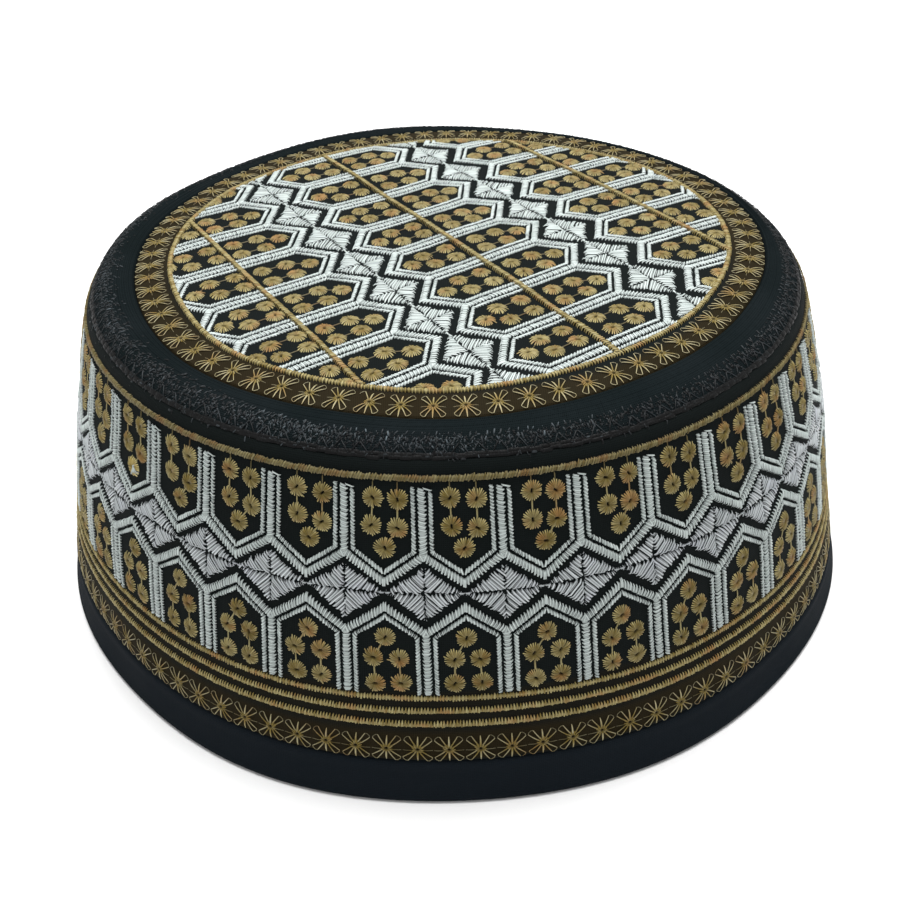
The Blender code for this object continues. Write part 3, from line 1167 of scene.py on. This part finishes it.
def fuzz(stitches):
    """Loose stitches, closer together at the front left and spread wider on the left."""
    turn = rng.uniform(0, TAU, FUZZ)
    turn = turn - 0.5 * np.cos(turn + 0.43)
    hairy = step(-np.cos(turn), 0.25, 0.7)
    radius = rng.triangular(74.2 - 2.4 * hairy, FUZZ_MIDDLE, 78.3 + 0.8 * hairy, FUZZ)
    radius = radius - 0.3 * np.cos(3 * turn) * (1 - hairy)
    aim = rng.normal(0, 0.8, FUZZ)
    reach = rng.uniform(0.14, 0.36, FUZZ)
    begin = polar(turn - np.sin(aim) * reach / 76.0, radius - np.cos(aim) * reach)
    end = polar(turn + np.sin(aim) * reach / 76.0, np.minimum(radius + np.cos(aim) * reach, 78.9))
    # Painted light: the stitches are brighter where the light catches the roll.
    shade = (painted_light_round(turn + 0.2) * rng.uniform(0.2, 1.0, FUZZ) ** 1.5)[:, None]
    stitches.straight(begin, end, 0.42, 0.10, bow=0.12, shade=shade)


def seam_cover(stitches):
    """Dark stitches that close the seam, and short ones that lie along it."""
    turn = np.arange(COVER) / COVER * TAU
    for radius in (77.55, 77.9):
        begin, end = (polar(turn + nudge, radius + rng.normal(0, 0.06, COVER)) for nudge in (-0.016, 0.016))
        shade = rng.uniform(0.02, 0.14, COVER)[:, None]
        stitches.straight(begin, end, 0.5, 0.06, bow=0.02, shade=shade, tone=0.0)
    turn = np.arange(SPECKS) / SPECKS * TAU + rng.normal(0, 0.008, SPECKS)
    radius = 77.75 + rng.normal(0, 0.22, SPECKS)
    reach = rng.uniform(0.12, 0.5, SPECKS) / 77.7
    # Painted light: the specks are brighter where the light catches the seam.
    shade = (painted_light_round(turn + 0.9) * rng.uniform(0.3, 1.1, SPECKS))[:, None]
    begin, end = polar(turn - reach, radius), polar(turn + reach, radius)
    stitches.straight(begin, end, 0.34, 0.12, bow=0.1, shade=shade)


def black_piece(name, stitches, black):
    return sewn(name, stitches, on_shoulder, disc_map, black, "roll_cloth", crest=LOW_CREST)


def shoulder_stitches(black):
    stitches = Stitches()
    stitch_rows(stitches)
    fuzz(stitches)
    seam_cover(stitches)
    return black_piece("shoulder_stitches", stitches, black)


def seam_zigzag(black):
    """A wide zigzag over the shoulder seam."""
    stitches = Stitches()
    turn = np.arange(ZIGZAGS) / ZIGZAGS * TAU
    size = TAU / ZIGZAGS

    def corners(nudge, radius, spread):
        loose = turn + nudge + rng.normal(0, 0.002, ZIGZAGS)
        return polar(loose, radius + rng.normal(0, spread, ZIGZAGS))

    top = corners(0.0, ZIGZAG[0], 0.1)
    feet = [corners(nudge * size, ZIGZAG[1], 0.05) for nudge in (-0.36, 0.46)]
    # Painted light: the legs that lean one way shine brighter than the others.
    for foot, shine in zip(feet, (0.6, 1.0)):
        shade = (shine * rng.uniform(0.15, 0.75, ZIGZAGS))[:, None]
        stitches.straight(top, foot, 0.18, 0.2, taper=(0.8, 0.8), shade=shade, tone=0.6)
    return black_piece("seam_zigzag", stitches, black)


# Stage

def stage():
    tree = Tree("floor_pale")
    tree.surface(Base_Color=(0.95, 0.95, 0.95, 1.0), Roughness=0.9, Specular_IOR_Level=0.1)
    reach = 6.0
    corners = [(-reach, -reach, 0), (reach, -reach, 0), (reach, reach, 0), (-reach, reach, 0)]
    mesh = bpy.data.meshes.new("floor")
    mesh.from_pydata(corners, [], [(0, 1, 2, 3)])
    mesh.materials.append(tree.mat)
    floor = link(bpy.data.objects.new("floor", mesh))


def area_light(name, at, size, power):
    data = bpy.data.lights.new(name, "AREA")
    data.shape = "SQUARE"
    data.size = size
    data.energy = power
    light = link(bpy.data.objects.new(name, data))
    light.location = at
    light.rotation_euler = Vector(at).to_track_quat("Z", "Y").to_euler()


def studio():
    world = bpy.data.worlds.new("studio")
    world.use_nodes = True
    background = world.node_tree.nodes["Background"]
    background.inputs["Color"].default_value = (1.0, 1.0, 1.0, 1.0)
    background.inputs["Strength"].default_value = 0.34
    bpy.context.scene.world = world
    area_light("top_softbox", (0.1, 0.45, 1.8), size=1.5, power=62.0)
    area_light("front_fill", (-0.5, -1.4, 1.1), size=1.0, power=2.0)
    area_light("left_fill", (-1.5, -0.4, 0.9), size=1.0, power=2.0)
    area_light("right_fill", (1.5, -0.4, 0.9), size=1.0, power=1.4)
    bpy.context.scene.view_settings.view_transform = "Standard"


def photo_camera():
    data = bpy.data.cameras.new("photo_camera")
    data.sensor_width = 36.0
    data.lens = LENS
    data.clip_start = 0.01
    forward = Vector((math.sin(YAW) * math.cos(PITCH), math.cos(YAW) * math.cos(PITCH), -math.sin(PITCH)))
    right = Vector((math.cos(YAW), -math.sin(YAW), 0.0))
    up = right.cross(forward)
    tilted_right = math.cos(ROLL) * right + math.sin(ROLL) * up
    tilted_up = -math.sin(ROLL) * right + math.cos(ROLL) * up
    turn = Matrix((tilted_right, tilted_up, -forward)).transposed().to_4x4()
    camera = link(bpy.data.objects.new("photo_camera", data))
    camera.matrix_world = Matrix.Translation(Vector(CAMERA_AT) * MM) @ turn
    bpy.context.scene.camera = camera


def cloth(obj, node_name):
    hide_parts(node_name)
    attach(obj, "root")
    return obj


# Colours: dark and light, then the odd patch of a thread
WHITE = ((0.54, 0.61, 0.59), (0.73, 0.81, 0.785), (0.63, 0.72, 0.69))
PALE = ((0.53, 0.575, 0.585), (0.74, 0.79, 0.81), (0.61, 0.64, 0.70))
GOLD = ((0.228, 0.163, 0.032), (0.48, 0.41, 0.18), (0.40, 0.18, 0.05))
DULL_GOLD = ((0.235, 0.165, 0.022), (0.42, 0.37, 0.20), (0.32, 0.18, 0.05))
BLACK_THREAD = ((0.010, 0.0135, 0.015), (0.066, 0.082, 0.092), (0.018, 0.023, 0.027))
BLACK = ((0.0030, 0.0052, 0.0050), (0.0050, 0.0072, 0.0070))
ROLL_BLACK = ((0.0038, 0.0062, 0.0068), (0.0064, 0.0090, 0.0100))
HEM_BLACK = ((0.0066, 0.0098, 0.0132), (0.0088, 0.0122, 0.0158))


def dressed_shells():
    """The four shells, each in place of its solid."""
    ground = cloth_material("crown_cloth", *BLACK, roughness=0.85, tint=crown_tint)
    crown = cloth(crown_cloth(ground), "crown_panel")
    stitched = cloth_material("roll_cloth", *ROLL_BLACK, roughness=0.78, specular=0.02, radial=2.0)
    section = walled(ribbed(roll_line), ROLL_WALL)
    roll = cloth(turned("shoulder_cloth", section, stitched), "shoulder_roll")
    woven = cloth_material("band_cloth", *BLACK, roughness=0.85, tint=band_tint)
    section = walled(band_line, BAND_WALL)
    band = cloth(turned("band_cloth", section, woven), "side_band")
    plain = cloth_material("hem_cloth", *HEM_BLACK, roughness=0.82, specular=0.04)
    section = walled(hem_line, HEM_WALL, 3)
    hem = cloth(turned("hem_cloth", section, plain), "hem_band")
    return crown, roll, band, hem


def main():
    white = thread_material("white_thread", *WHITE, roughness=0.45)
    pale = thread_material("pale_thread", *PALE, roughness=0.45)
    gold = thread_material("gold_thread", *GOLD, roughness=0.5, sheen=0.06, specular=0.25)
    dull = thread_material("star_thread", *DULL_GOLD, roughness=0.5, sheen=0.06, specular=0.25)
    dark = thread_material("black_thread", *BLACK_THREAD, roughness=0.5, sheen=0.04, specular=0.16)
    crown, roll, band, hem = dressed_shells()

    on_side = band_lattice(white, pale) + [band_rosettes(gold), band_gold_lines(gold), band_stars(dull)]
    above = crown_lattice(white) + [crown_rosettes(gold), crown_gold_lines(gold), crown_stars(dull)]
    shoulder_stitches(dark)
    seam_zigzag(dark)

    stage()
    studio()
    photo_camera()


main()
